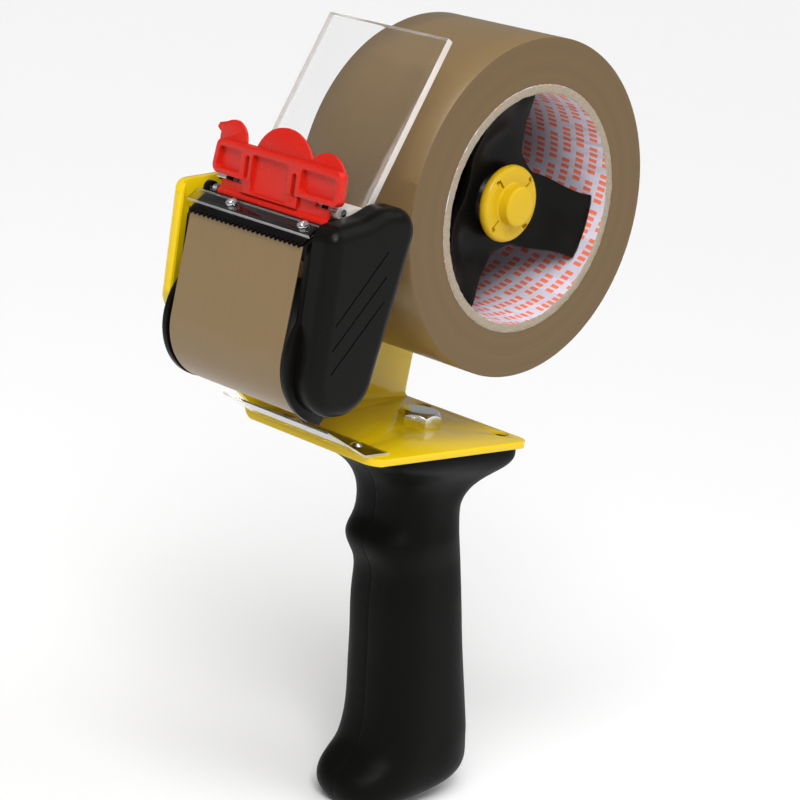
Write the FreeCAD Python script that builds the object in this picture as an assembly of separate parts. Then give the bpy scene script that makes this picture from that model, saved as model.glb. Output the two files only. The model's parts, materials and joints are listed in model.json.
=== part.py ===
import FreeCAD, Part
import math
import os

# Hand-held packing tape dispenser (tape gun), in millimetres.
# Origin: on the roll axis, half-way across the tape.
# +X points to the rear of the gun, +Y to its closed side, +Z up, square to the base plate.

# ---------------------------------------------------------------- driving dimensions
TAPE_WIDTH = 50.0
ROLL_RADIUS = 56.0
CORE_INNER_RADIUS = 38.0
CORE_OUTER_RADIUS = 41.0
WEB_THICKNESS = 0.3

SHEET = 2.5                     # steel sheet of the frame
SIDE_INNER_Y = 31.0             # inner face of the side plate
SIDE_OUTER_Y = SIDE_INNER_Y + SHEET
BASE_TOP_Z = -78.5
BASE_BOTTOM_Z = BASE_TOP_Z - SHEET
BASE_FRONT_X = -58.5
BASE_REAR_X = 16.0
BASE_NEAR_Y = -28.0
LIP_EDGE_Y = 29.0               # free edge of the lip folded along the frame's front

ROLLER_X = -84.0
ROLLER_Z = -43.7
ROLLER_RADIUS = 19.5
ROLLER_HALF_LENGTH = 25.6
AXLE_RADIUS = 4.0

CHEEK_INNER_Y = 26.4            # the two cheeks stand either side of the tape
CHEEK_THICKNESS = 2.0
CHEEK_RADIUS = 20.8
FAR_CHEEK_RADIUS = 20.1
COVER_OUTER_Y = -37.5
COVER_WALL = 2.2
COVER_EDGE_RADIUS = 4.5
COVER_SCREWS = ((-94.0, -20.5), (-74.5, -7.5))
COVER_OUTLINE = [               # X, Z and corner radius
    (-101.0, -2.6, 5.5), (-87, 0.2, 12), (-79, 3.8, 10), (-63.6, 3.8, 8), (-76.6, -60.2, 12.6),
    (-101.0, -60.2, 12.6),
]
GROOVES = (                     # start and end of each engraved line on the cover
    ((-77.5, -8.9), (-95.6, -31.1)), ((-76.8, -16.5), (-95.6, -38.6)), ((-76.4, -24.1), (-94.8, -45.8)),
)

BLADE_TIP = (-102.1, -10.0)      # tooth tips, X and Z
BLADE_SLOPE = (0.8, 0.6)        # unit vector along the blade, up and to the rear
BLADE_THICKNESS = 0.6
BLADE_DEPTH = 10.4
TOOTH_PITCH = 2.0
TOOTH_DEPTH = 1.6
CLAMP_START = 4.0
CLAMP_END = 9.0
CLAMP_THICKNESS = 1.2
BLADE_SCREW_Y = (11.0, -20.5)
BLADE_SCREW_S = 7.0             # screw centre, measured up the blade from the tips

WIPER_PIVOT = (-91.8, -3.0)
WIPER_BARREL_RADIUS = 1.9
WIPER_PIN_RADIUS = 0.9
WIPER_BARREL_FAR_Y = 22.5       # the wiper's spring fills the rest, up to the far cheek
WIPER_BARREL_NEAR_Y = -26.0
WIPER_NEAR_Y = -30.0
WIPER_FAR_Y = 25.5
GUARD_PIVOT = (-88.6, 0.8)
GUARD_BARREL_RADIUS = 2.2
GUARD_PIN_RADIUS = 1.2
GUARD_NEAR_Y = -26.6
GUARD_FAR_Y = 24.5
GUARD_THICKNESS = 2.5
LUG_INNER_Y = 20.0
LUG_WIDTH = 2.5
GUARD_SPRING_Y = 16.8
GUARD_FOOT = (-79.5, 0.4)       # X and Z where the plate springs from its tongue
GUARD_LEAN = 64.0               # degrees up from level
GUARD_LENGTH = 59.5

TIE_X, TIE_Z, TIE_RADIUS = -77.0, -15.0, 2.5

BOLT_X = -10.0                  # hex bolt that holds the handle to the base plate
BOLT_RADIUS = 4.0
BOLT_HEAD_ACROSS_FLATS = 13.0
BOLT_HEAD_HEIGHT = 5.3
PEG_X, PEG_Y, PEG_RADIUS = 11.8, 18.0, 2.5
HANDLE_WALL = 2.8
HANDLE_SCREWS = ((-7.0, -133.0), (2.0, -162.0), (8.0, -194.0))

LEAF_RIVET_X, LEAF_RIVET_Y, LEAF_RIVET_RADIUS = -54.0, 14.0, 1.5
LEAF_THICKNESS = 0.8
LEAF_HALF_WIDTH = 24.0

HUB_REAR_Y = 25.9
HUB_FRONT_Y = -11.0
POCKET_FLOOR_Y = -4.0           # floor of the pocket that the brake spring sits in
POCKET_RADIUS = 10.5
BOSS_RADIUS = 13.5
BUSH_OUTER_RADIUS = 7.0
FLAT_Z = 3.2                    # flat milled along the threaded end of the axle
BRAKE_WASHER_RADIUS = 10.2
KNOB_RADIUS = 12.8
THREAD_RADIUS = 4.0
JOURNAL_RADIUS = 5.0
RUNNING = 0.05                  # radial clearance of running fits
TINY = 0.1                      # clearance between faces of different bodies

ARM_ANGLES = (-12.0, 108.0, 228.0)

Y_AXIS = FreeCAD.Vector(0, 1, 0)
Z_AXIS = FreeCAD.Vector(0, 0, 1)
ORIGIN = FreeCAD.Vector(0, 0, 0)


# ---------------------------------------------------------------- helpers
def save(shape, name):
    shape.exportStep("parts/" + name + ".step")


def cylinder_y(x, z, radius, y0, y1):
    return Part.makeCylinder(radius, y1 - y0, FreeCAD.Vector(x, y0, z), Y_AXIS)


def cylinder_z(x, y, radius, z0, z1):
    return Part.makeCylinder(radius, z1 - z0, FreeCAD.Vector(x, y, z0), Z_AXIS)


def ring_y(x, z, inner, outer, y0, y1):
    return cylinder_y(x, z, outer, y0, y1).cut(cylinder_y(x, z, inner, y0 - 1, y1 + 1))


def box(x0, x1, y0, y1, z0, z1):
    return Part.makeBox(x1 - x0, y1 - y0, z1 - z0, FreeCAD.Vector(x0, y0, z0))


def hexagon_prism_z(x, y, across_flats, z0, z1):
    corner = across_flats / math.sqrt(3)
    turns = [math.radians(60 * k) for k in range(7)]
    points = [FreeCAD.Vector(x + corner * math.cos(a), y + corner * math.sin(a), z0) for a in turns]
    return Part.Face(Part.makePolygon(points)).extrude(FreeCAD.Vector(0, 0, z1 - z0))


def hexagon_prism_y(x, z, across_flats, y0, y1):
    prism = hexagon_prism_z(0, 0, across_flats, 0, y1 - y0)
    prism.rotate(ORIGIN, FreeCAD.Vector(1, 0, 0), -90)
    prism.translate(FreeCAD.Vector(x, y0, z))
    return prism


def rounded_wire(corners, place):
    """Closed outline through corners (a, b, radius); place turns (a, b) into a point."""
    count = len(corners)
    starts, ends, middles = [], [], []
    for k in range(count):
        ax, ay, radius = corners[k]
        before = FreeCAD.Vector(corners[k - 1][0] - ax, corners[k - 1][1] - ay, 0).normalize()
        after_corner = corners[(k + 1) % count]
        after = FreeCAD.Vector(after_corner[0] - ax, after_corner[1] - ay, 0).normalize()
        corner = FreeCAD.Vector(ax, ay, 0)
        half = before.getAngle(after) / 2
        setback = radius / math.tan(half) if radius else 0.0
        starts.append(corner + before * setback)
        ends.append(corner + after * setback)
        if radius:
            inward = (before + after).normalize()
            middles.append(corner + inward * (radius / math.sin(half) - radius))
        else:
            middles.append(None)
    edges = []
    for k in range(count):
        if middles[k] is not None:
            arc = Part.Arc(place(starts[k]), place(middles[k]), place(ends[k]))
            edges.append(arc.toShape())
        nxt = (k + 1) % count
        if (ends[k] - starts[nxt]).Length > 1e-6:
            edges.append(Part.makeLine(place(ends[k]), place(starts[nxt])))
    return Part.Wire(edges)


def on_xz(y):
    return lambda p: FreeCAD.Vector(p.x, y, p.y)


def plate_xz(corners, y0, y1):
    """Flat plate with an outline in X and Z, from y0 to y1."""
    wire = rounded_wire(corners, on_xz(y0))
    return Part.Face(wire).extrude(FreeCAD.Vector(0, y1 - y0, 0))


def prism_z(corners, z0, z1):
    wire = rounded_wire(corners, lambda p: FreeCAD.Vector(p.x, p.y, z0))
    return Part.Face(wire).extrude(FreeCAD.Vector(0, 0, z1 - z0))


def prism_x(corners, x0, x1):
    wire = rounded_wire(corners, lambda p: FreeCAD.Vector(x0, p.x, p.y))
    return Part.Face(wire).extrude(FreeCAD.Vector(x1 - x0, 0, 0))


def revolve_y(profile):
    """Solid of revolution about the roll axis; profile is a list of (radius, y)."""
    points = [FreeCAD.Vector(r, y, 0) for r, y in profile]
    face = Part.Face(Part.makePolygon(points + points[:1]))
    return face.revolve(ORIGIN, Y_AXIS, 360)


def blade_point(along, above):
    """X and Z of a point measured up the blade from its tips and square to it."""
    x = BLADE_TIP[0] + along * BLADE_SLOPE[0] - above * BLADE_SLOPE[1]
    z = BLADE_TIP[1] + along * BLADE_SLOPE[1] + above * BLADE_SLOPE[0]
    return x, z


def blade_slab(along0, along1, above0, above1, y0, y1):
    ends = ((along0, above0), (along1, above0), (along1, above1), (along0, above1))
    corners = [blade_point(*end) + (0,) for end in ends]
    return plate_xz(corners, y0, y1)


def blade_cylinder(along, y, radius, above0, above1):
    x, z = blade_point(along, above0)
    normal = FreeCAD.Vector(-BLADE_SLOPE[1], 0, BLADE_SLOPE[0])
    return Part.makeCylinder(radius, above1 - above0, FreeCAD.Vector(x, y, z), normal)


# ---------------------------------------------------------------- frame
def make_frame():
    side_outline = [
        (BASE_REAR_X, -76, 0), (22.5, 14, 10), (8, 24, 12), (-16, 24, 14), (-30, 7.6, 16),
        (-102.5, -1.4, 6), (-102.5, -36, 4), (-92, -53, 8), (-66, -70, 8), (BASE_FRONT_X, -76, 0),
    ]
    side = plate_xz(side_outline, LIP_EDGE_Y, SIDE_OUTER_Y)
    lip_section = [
        (-102.5, LIP_EDGE_Y, 0.8), (-102.5, SIDE_OUTER_Y, 3.0), (26, SIDE_OUTER_Y, 0),
        (26, SIDE_INNER_Y, 0), (-100.3, SIDE_INNER_Y, 0.8), (-100.3, LIP_EDGE_Y, 0.8),
    ]
    side = side.common(prism_z(lip_section, -77, 30))
    fold_section = [
        (BASE_NEAR_Y, BASE_BOTTOM_Z, 0.8), (SIDE_OUTER_Y, BASE_BOTTOM_Z, 4.0),
        (SIDE_OUTER_Y, -75.9, 0), (SIDE_INNER_Y, -75.9, 0),
        (SIDE_INNER_Y, BASE_TOP_Z, 1.5), (BASE_NEAR_Y, BASE_TOP_Z, 0.8),
    ]
    base = prism_x(fold_section, BASE_FRONT_X, BASE_REAR_X)
    base_outline = [
        (BASE_FRONT_X, BASE_NEAR_Y, 6), (BASE_REAR_X, BASE_NEAR_Y, 5),
        (BASE_REAR_X, SIDE_OUTER_Y + 1, 0), (BASE_FRONT_X, SIDE_OUTER_Y + 1, 0),
    ]
    base = base.common(prism_z(base_outline, -90, -70))
    frame = side.fuse(base)
    frame = frame.cut(cylinder_y(0, 0, AXLE_RADIUS, 30, 35))
    frame = frame.cut(cylinder_y(ROLLER_X, ROLLER_Z, AXLE_RADIUS, 30, 35))
    frame = frame.cut(cylinder_y(TIE_X, TIE_Z, TIE_RADIUS, 30, 35))
    frame = frame.cut(cylinder_z(BOLT_X, 0, BOLT_RADIUS + 0.2, -85, -75))
    for y in (-PEG_Y, PEG_Y):
        frame = frame.cut(cylinder_z(PEG_X, y, PEG_RADIUS + 0.2, -85, -75))
    for y in (-LEAF_RIVET_Y, LEAF_RIVET_Y):
        frame = frame.cut(cylinder_z(LEAF_RIVET_X, y, LEAF_RIVET_RADIUS, -85, -75))
    return frame.removeSplitter()


# ---------------------------------------------------------------- handle
# Each section: front point (x, z), rear point (x, z), half width, squareness.
HANDLE_SECTIONS = (
    ((-46.0, -81.0), (16.6, -81.0), 25.2, 8.0),
    ((-45.2, -85.0), (17.0, -86.4), 25.0, 7.5),
    ((-38.5, -88.2), (16.8, -90.4), 22.4, 4.8),
    ((-31.0, -92.5), (13.4, -94.2), 19.0, 3.7),
    ((-27.6, -96.5), (9.8, -97.4), 17.2, 3.3),
    ((-25.8, -101.0), (7.4, -101.2), 16.4, 2.9),
    ((-25.0, -107.5), (7.0, -106.0), 16.0, 2.8),
    ((-25.8, -112.0), (7.6, -109.5), 16.2, 2.8),
    ((-28.2, -117.5), (8.9, -114.5), 16.8, 2.7),
    ((-26.0, -122.3), (10.0, -118.5), 16.4, 2.8),
    ((-22.8, -127.0), (11.2, -122.5), 15.8, 2.9),
    ((-21.2, -137.0), (13.5, -131.5), 15.8, 3.0),
    ((-19.2, -152.0), (17.2, -146.0), 16.0, 3.0),
    ((-17.0, -168.0), (21.2, -161.5), 16.3, 3.0),
    ((-15.4, -181.0), (24.8, -174.0), 16.6, 3.0),
    ((-15.8, -189.5), (27.2, -182.5), 16.9, 3.0),
    ((-18.6, -196.2), (29.2, -188.5), 17.2, 2.9),
    ((-23.6, -201.0), (30.6, -193.5), 17.5, 2.8),
    ((-25.6, -205.2), (31.4, -198.0), 17.6, 2.8),
    ((-24.6, -209.3), (30.8, -202.3), 16.9, 2.8),
    ((-21.0, -212.6), (27.0, -206.0), 14.2, 2.7),
    ((-14.5, -213.6), (20.6, -207.6), 10.5, 2.6),
)
SECTION_POINTS = 40


def power(value, exponent):
    return math.copysign(abs(value) ** exponent, value)


def handle_section(section, inset):
    (front_x, front_z), (rear_x, rear_z), half_width, squareness = section
    middle = FreeCAD.Vector((front_x + rear_x) / 2, 0, (front_z + rear_z) / 2)
    along = FreeCAD.Vector(rear_x - front_x, 0, rear_z - front_z)
    half_length = along.Length / 2 - inset
    along.normalize()
    points = []
    for k in range(SECTION_POINTS):
        turn = 2 * math.pi * k / SECTION_POINTS
        across = (half_width - inset) * power(math.sin(turn), 2 / squareness)
        reach = half_length * power(math.cos(turn), 2 / squareness)
        points.append(middle + along * reach + Y_AXIS * across)
    curve = Part.BSplineCurve()
    curve.interpolate(points, PeriodicFlag=True)
    return Part.Wire([curve.toShape()])


def make_handle():
    outer = Part.makeLoft([handle_section(s, 0) for s in HANDLE_SECTIONS], True)
    inner = Part.makeLoft([handle_section(s, HANDLE_WALL) for s in HANDLE_SECTIONS[2:-3]], True)
    inner = inner.cut(box(-60, 60, -30, 30, -90.5, -80))
    shell = outer.cut(inner)
    bosses = [cylinder_z(BOLT_X, 0, 9.5, -112, -88)]
    for x, z in HANDLE_SCREWS:
        bosses.append(cylinder_y(x, z, 4.2, -15, 15))
    for boss in bosses:
        shell = shell.fuse(boss)
    shell = shell.cut(cylinder_z(BOLT_X, 0, BOLT_RADIUS + 0.2, -110, -75))
    shell = shell.cut(hexagon_prism_z(BOLT_X, 0, BOLT_HEAD_ACROSS_FLATS + 0.2, -107, -100))
    for y in (-PEG_Y, PEG_Y):
        shell = shell.fuse(cylinder_z(PEG_X, y, PEG_RADIUS, -84, -79.3))
    near = shell.common(box(-70, 70, -40, 0, -230, -70))
    far = shell.common(box(-70, 70, 0, 40, -230, -70))
    for x, z in HANDLE_SCREWS:
        near = near.cut(cylinder_y(x, z, 1.5, -12, 1))
        far = far.cut(cylinder_y(x, z, 1.7, -1, 20))
        far = far.cut(cylinder_y(x, z, 3.2, 9, 20))
    return near, far


def make_handle_screws():
    screws = []
    for x, z in HANDLE_SCREWS:
        shank = cylinder_y(x, z, 1.5, -11.5, 9.5)
        head = cylinder_y(x, z, 3.0, 9.0, 11.5)
        slot = box(x - 2.2, x + 2.2, 10.7, 12, z - 0.4, z + 0.4)
        screws.append(shank.fuse(head).cut(slot))
    return Part.makeCompound(screws)


def make_handle_bolt():
    head_top = BASE_TOP_Z + BOLT_HEAD_HEIGHT
    head = hexagon_prism_z(BOLT_X, 0, BOLT_HEAD_ACROSS_FLATS, BASE_TOP_Z, head_top)
    crown = Part.makeCone(
        BOLT_HEAD_ACROSS_FLATS * 0.5 + 4.2, BOLT_HEAD_ACROSS_FLATS * 0.5 - 0.6, 4.8,
        FreeCAD.Vector(BOLT_X, 0, head_top - 4.8), Z_AXIS,
    )
    lower = cylinder_z(BOLT_X, 0, 12, BASE_TOP_Z, head_top - 4.8)
    head = head.common(crown.fuse(lower))
    shank = cylinder_z(BOLT_X, 0, BOLT_RADIUS, -109, BASE_TOP_Z)
    return head.fuse(shank)


def make_handle_nut():
    nut = hexagon_prism_z(BOLT_X, 0, BOLT_HEAD_ACROSS_FLATS, -106.8, -100.2)
    return nut.cut(cylinder_z(BOLT_X, 0, BOLT_RADIUS, -110, -99))


# ---------------------------------------------------------------- hub, brake and roll
def make_hub_axle():
    rivet_end = cylinder_y(0, 0, AXLE_RADIUS, SIDE_INNER_Y, SIDE_OUTER_Y)
    collar = cylinder_y(0, 0, 10, 28, SIDE_INNER_Y)
    journal = cylinder_y(0, 0, JOURNAL_RADIUS, POCKET_FLOOR_Y, 28)
    thread = cylinder_y(0, 0, THREAD_RADIUS, -18, POCKET_FLOOR_Y)
    thread = thread.cut(box(-6, 6, -19, POCKET_FLOOR_Y, FLAT_Z, 6))
    return rivet_end.fuse(collar).fuse(journal).fuse(thread)


def keyed_washer(outer, y0, y1):
    bore = cylinder_y(0, 0, THREAD_RADIUS + RUNNING, y0 - 1, y1 + 1)
    bore = bore.cut(box(-6, 6, y0 - 2, y1 + 2, FLAT_Z + RUNNING, 6))
    return cylinder_y(0, 0, outer, y0, y1).cut(bore)


def make_core_hub():
    arm_profile = [
        (9, HUB_FRONT_Y), (15, -11.6), (24, -14.8), (33, -19.4), (36.6, -20.2), (37.8, -19),
        (37.8, 18), (34.6, 18), (34.6, -14.6), (31.5, -14.9), (23, -10.6), (15, -7.6), (9, -7),
    ]
    arms = revolve_y(arm_profile)
    stencil = None
    for angle in ARM_ANGLES:
        arm = plate_xz([(0, -15, 4), (40, -9.5, 2), (40, 9.5, 2), (0, 15, 4)], -30, 30)
        arm.rotate(ORIGIN, Y_AXIS, -angle)
        stencil = arm if stencil is None else stencil.fuse(arm)
    arms = arms.common(stencil)
    boss = cylinder_y(0, 0, BOSS_RADIUS, HUB_FRONT_Y, HUB_REAR_Y)
    back_disc = cylinder_y(0, 0, 37.2, 15, 18)
    hub = arms.fuse(boss).fuse(back_disc)
    hub = hub.cut(cylinder_y(0, 0, BUSH_OUTER_RADIUS, -20, 30))
    return hub.cut(cylinder_y(0, 0, POCKET_RADIUS, -20, POCKET_FLOOR_Y)).removeSplitter()


def make_brake_knob():
    flange = revolve_y([
        (0, -12.5), (KNOB_RADIUS - 0.6, -12.5), (KNOB_RADIUS, -13.1), (KNOB_RADIUS, -14.4),
        (KNOB_RADIUS - 1.1, -15.5), (0, -15.5),
    ])
    button = revolve_y([(0, -15), (6.8, -15), (6.8, -20.2), (6.0, -21), (0, -21)])
    skirt = cylinder_y(0, 0, 9.5, -12.5, -12.0)
    knob = flange.fuse(button).fuse(skirt)
    knob = knob.cut(cylinder_y(0, 0, THREAD_RADIUS + RUNNING, -19.2, -11))
    for k in range(4):
        slot = box(7.8, 11.4, -16, -14.2, -0.7, 0.7)
        slot.rotate(ORIGIN, Y_AXIS, 45 + 90 * k)
        knob = knob.cut(slot)
    return knob


def make_brake_spring():
    wire_radius, coil_radius, pitch = 0.6, 8.0, 1.5
    start, height = -10.0, 3.9
    helix = Part.makeHelix(pitch, height, coil_radius)
    centre = FreeCAD.Vector(coil_radius, 0, 0)
    section = Part.Wire(Part.makeCircle(wire_radius, centre, Y_AXIS))
    coil = Part.Wire(helix).makePipeShell([section], True, True)
    coil.rotate(ORIGIN, FreeCAD.Vector(1, 0, 0), -90)
    coil.translate(FreeCAD.Vector(0, start, 0))
    return coil


# ---------------------------------------------------------------- tape web
def make_tape_web():
    """Tape from the roll's front, round under the roller and up to the blade."""
    roller = FreeCAD.Vector(ROLLER_X, ROLLER_Z, 0)
    roller_line = ROLLER_RADIUS + TINY + WEB_THICKNESS / 2
    roll_line = ROLL_RADIUS + 2 * TINY + WEB_THICKNESS / 2
    span = roller.Length
    lean = math.atan2(-ROLLER_Z, -ROLLER_X) + math.asin((roller_line + roll_line) / span)
    normal = FreeCAD.Vector(math.sin(lean), -math.cos(lean), 0)
    leave_roller = roller + normal * roller_line
    leave_roll = normal * -roll_line
    blade_end = FreeCAD.Vector(*blade_point(1.1, -0.3), 0)
    to_roller = roller - blade_end
    drop = math.atan2(-to_roller.y, to_roller.x)
    reach = math.acos(roller_line / to_roller.Length)
    front_angle = math.pi - drop + reach
    front_touch = roller + FreeCAD.Vector(math.cos(front_angle), math.sin(front_angle), 0) * roller_line
    bottom = roller - FreeCAD.Vector(0, roller_line, 0)

    def strip(offset):
        """The path moved outwards, away from the roller's axis, by offset."""
        out = front_touch - roller
        out.normalize()
        points = [
            leave_roll + normal * offset, leave_roller + normal * offset,
            bottom - FreeCAD.Vector(0, offset, 0), front_touch + out * offset, blade_end + out * offset,
        ]
        return [FreeCAD.Vector(p.x, -TAPE_WIDTH / 2, p.y) for p in points]

    outer = strip(WEB_THICKNESS / 2)
    inner = strip(-WEB_THICKNESS / 2)
    edges = [
        Part.makeLine(outer[0], outer[1]), Part.Arc(outer[1], outer[2], outer[3]).toShape(),
        Part.makeLine(outer[3], outer[4]), Part.makeLine(outer[4], inner[4]),
        Part.makeLine(inner[4], inner[3]), Part.Arc(inner[3], inner[2], inner[1]).toShape(),
        Part.makeLine(inner[1], inner[0]), Part.makeLine(inner[0], outer[0]),
    ]
    return Part.Face(Part.Wire(edges)).extrude(FreeCAD.Vector(0, TAPE_WIDTH, 0))


# ---------------------------------------------------------------- applicator
def make_roller_core():
    tube = ring_y(ROLLER_X, ROLLER_Z, 7, 15, -ROLLER_HALF_LENGTH, ROLLER_HALF_LENGTH)
    return tube.cut(ring_y(ROLLER_X, ROLLER_Z, 7, 12.5, -19, 19))


def make_roller_bushes():
    bushes = []
    for y0, y1, rim0, rim1 in ((-25.6, -19, -26.2, -25.6), (19, 25.6, 25.6, 26.2)):
        sleeve = ring_y(ROLLER_X, ROLLER_Z, AXLE_RADIUS + RUNNING, 7, y0, y1)
        rim = ring_y(ROLLER_X, ROLLER_Z, AXLE_RADIUS + RUNNING, 9, rim0, rim1)
        bushes.append(sleeve.fuse(rim))
    return Part.makeCompound(bushes)


def make_cheek(near):
    if near:
        y0, y1 = -CHEEK_INNER_Y - CHEEK_THICKNESS, -CHEEK_INNER_Y
        corners = [
            (-101.2, -11, 1.5), (-94.2, -6.6, 1), (-89.5, -3.4, 1.5), (-72, -3.4, 6),
            (-67.5, -16, 5), (-76, -50, 3), (-101.2, -46, 0),
        ]
    else:
        y0, y1 = CHEEK_INNER_Y, CHEEK_INNER_Y + CHEEK_THICKNESS
        corners = [
            (-99.3, -11, 1), (-94.2, -6.6, 1), (-89.5, -3.4, 1.5), (-72, -3.4, 6),
            (-67.5, -16, 5), (-76, -50, 3), (-96, -46, 0), (-96, -30, 1), (-99.3, -28, 1),
        ]
    cheek = plate_xz(corners, y0, y1)
    disc_radius = CHEEK_RADIUS if near else FAR_CHEEK_RADIUS
    cheek = cheek.fuse(cylinder_y(ROLLER_X, ROLLER_Z, disc_radius, y0, y1))
    lug_x, lug_z = WIPER_PIVOT
    cheek = cheek.fuse(cylinder_y(lug_x, lug_z, 2.4, y0, y1))
    if not near:
        for x, z, radius in ((ROLLER_X, ROLLER_Z, 9), (TIE_X, TIE_Z, 5)):
            cheek = cheek.fuse(cylinder_y(x, z, radius, y1, SIDE_INNER_Y))
    cheek = cheek.cut(cylinder_y(ROLLER_X, ROLLER_Z, AXLE_RADIUS, -40, 40))
    cheek = cheek.cut(cylinder_y(TIE_X, TIE_Z, TIE_RADIUS, -40, 40))
    cheek = cheek.cut(cylinder_y(lug_x, lug_z, WIPER_PIN_RADIUS, -40, 40))
    if near:
        for x, z in COVER_SCREWS:
            cheek = cheek.cut(cylinder_y(x, z, 1.7, -40, 0))
        beyond_cover = [(-64.4, 6, 0), (-74.6, -44, 0), (-88, -66, 0), (-40, -66, 0), (-40, 6, 0)]
        cheek = cheek.cut(plate_xz(beyond_cover, y0 - 1, y1 + 1))
    return cheek.removeSplitter()


def make_near_cover():
    cheek_face = -CHEEK_INNER_Y - CHEEK_THICKNESS
    cover = plate_xz(COVER_OUTLINE, COVER_OUTER_Y, cheek_face)
    rim = [e for e in cover.Edges if max(abs(v.Y - COVER_OUTER_Y) for v in e.Vertexes) < 1e-6]
    cover = cover.makeFillet(COVER_EDGE_RADIUS, rim)
    inner = rounded_wire(COVER_OUTLINE, on_xz(cheek_face)).makeOffset2D(-COVER_WALL)
    pocket_floor = COVER_OUTER_Y + COVER_WALL + 1.4
    pocket = Part.Face(inner).extrude(FreeCAD.Vector(0, pocket_floor - cheek_face, 0))
    cover = cover.cut(pocket)
    for x, z in COVER_SCREWS:
        cover = cover.fuse(ring_y(x, z, 1.4, 3.4, COVER_OUTER_Y + COVER_WALL, cheek_face))
    for start, end in GROOVES:
        run = FreeCAD.Vector(end[0] - start[0], 0, end[1] - start[1])
        groove = Part.makeBox(run.Length, 1.0, 0.5)
        groove.translate(FreeCAD.Vector(0, -0.5, -0.25))
        groove.rotate(ORIGIN, Y_AXIS, -math.degrees(math.atan2(run.z, run.x)))
        groove.translate(FreeCAD.Vector(start[0], COVER_OUTER_Y, start[1]))
        cover = cover.cut(groove)
    return cover


def make_cover_screws():
    screws = []
    for x, z in COVER_SCREWS:
        head = cylinder_y(x, z, 2.8, -CHEEK_INNER_Y, -CHEEK_INNER_Y + 1.8)
        shank = cylinder_y(x, z, 1.4, -33.5, -CHEEK_INNER_Y)
        slot = box(x - 2, x + 2, -CHEEK_INNER_Y + 1.1, -CHEEK_INNER_Y + 3, z - 0.4, z + 0.4)
        screws.append(shank.fuse(head).cut(slot))
    return Part.makeCompound(screws)


def make_blade_carrier():
    top_front = blade_point(1.6, 0)
    top_rear = blade_point(BLADE_DEPTH, 0)
    section = [
        top_front + (0.3,), top_rear + (0.3,), (top_rear[0], -6.2, 0.8), (-86.5, -6.2, 1.5),
        (-86.5, -14, 1.5), (top_front[0], -14, 1.5),
    ]
    carrier = plate_xz(section, -CHEEK_INNER_Y, CHEEK_INNER_Y)
    pivot_x, pivot_z = GUARD_PIVOT
    for y0 in (-LUG_INNER_Y - LUG_WIDTH, LUG_INNER_Y):
        lug = box(pivot_x - 1.2, pivot_x + 2.1, y0, y0 + LUG_WIDTH, -7, pivot_z)
        eye = cylinder_y(pivot_x, pivot_z, 2.1, y0, y0 + LUG_WIDTH)
        carrier = carrier.fuse(lug).fuse(eye)
    carrier = carrier.cut(cylinder_y(pivot_x, pivot_z, GUARD_PIN_RADIUS, -40, 40))
    for y in BLADE_SCREW_Y:
        carrier = carrier.cut(blade_cylinder(BLADE_SCREW_S, y, 1.25, -8, 1))
    return carrier.removeSplitter()


def make_blade():
    blade = blade_slab(0, BLADE_DEPTH, 0, BLADE_THICKNESS, -TAPE_WIDTH / 2, TAPE_WIDTH / 2)
    count = int(TAPE_WIDTH / TOOTH_PITCH)
    gaps = []
    for k in range(count + 1):
        y = -TAPE_WIDTH / 2 + k * TOOTH_PITCH
        corners = ((-0.5, y - TOOTH_PITCH / 2), (TOOTH_DEPTH, y), (-0.5, y + TOOTH_PITCH / 2))
        points = []
        for along, across in corners:
            x, z = blade_point(along, -1)
            points.append(FreeCAD.Vector(x, across, z))
        face = Part.Face(Part.makePolygon(points + points[:1]))
        gaps.append(face.extrude(FreeCAD.Vector(-3 * BLADE_SLOPE[1], 0, 3 * BLADE_SLOPE[0])))
    blade = blade.cut(Part.makeCompound(gaps))
    for y in BLADE_SCREW_Y:
        blade = blade.cut(blade_cylinder(BLADE_SCREW_S, y, 1.6, -1, 2))
    return blade


def make_blade_clamp():
    low, high = BLADE_THICKNESS, BLADE_THICKNESS + CLAMP_THICKNESS
    clamp = blade_slab(CLAMP_START, CLAMP_END, low, high, -25.5, 28.8)
    for y in BLADE_SCREW_Y:
        clamp = clamp.cut(blade_cylinder(BLADE_SCREW_S, y, 1.6, 0, 4))
    return clamp


def make_blade_screws():
    top = BLADE_THICKNESS + CLAMP_THICKNESS
    screws = []
    for y in BLADE_SCREW_Y:
        shank = blade_cylinder(BLADE_SCREW_S, y, 1.25, -6, top)
        head = blade_cylinder(BLADE_SCREW_S, y, 1.8, top, top + 1.0)
        drive = blade_cylinder(BLADE_SCREW_S, y, 0.8, top + 0.4, top + 2)
        screws.append(shank.fuse(head).cut(drive))
    return Part.makeCompound(screws)


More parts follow.
